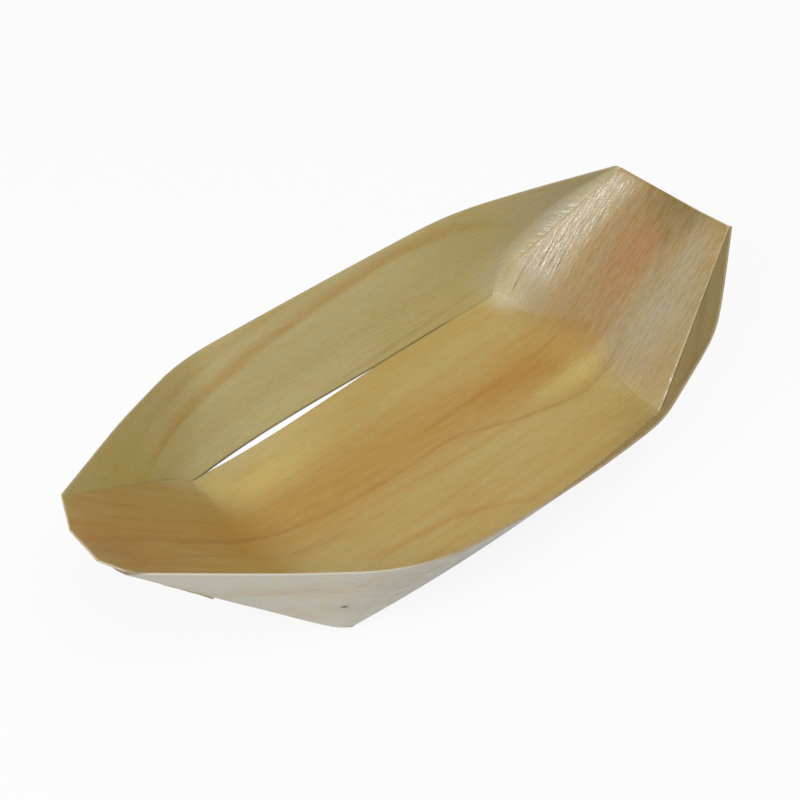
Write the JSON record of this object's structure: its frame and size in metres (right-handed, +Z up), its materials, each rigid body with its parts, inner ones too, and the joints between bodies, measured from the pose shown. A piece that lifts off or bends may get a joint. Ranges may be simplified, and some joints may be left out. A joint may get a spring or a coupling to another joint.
{
  "type": "disposable boat plate",
  "caption": "Shallow boat-shaped serving dish of thin pine veneer: flat bottom, flared sides and upturned ends, with side strips wrapped behind the ends and glued.",
  "frame": {"origin": "middle of the flat bottom's underside", "axes": "+X along the length towards the end on the right of the picture (bow), +Y towards the far side (port), +Z up"},
  "size_m": [0.2228, 0.113, 0.0481],
  "materials": {
    "pine_veneer": "raw",
    "glue": "satin"
  },
  "bodies": {
    "root": {"bottom_strip": "pine_veneer", "port_side_strip": "pine_veneer", "starboard_side_strip": "pine_veneer", "stern_inner_glue": "glue", "stern_outer_glue": "glue", "bow_inner_glue": "glue", "bow_outer_glue": "glue"}
  },
  "joints": []
}
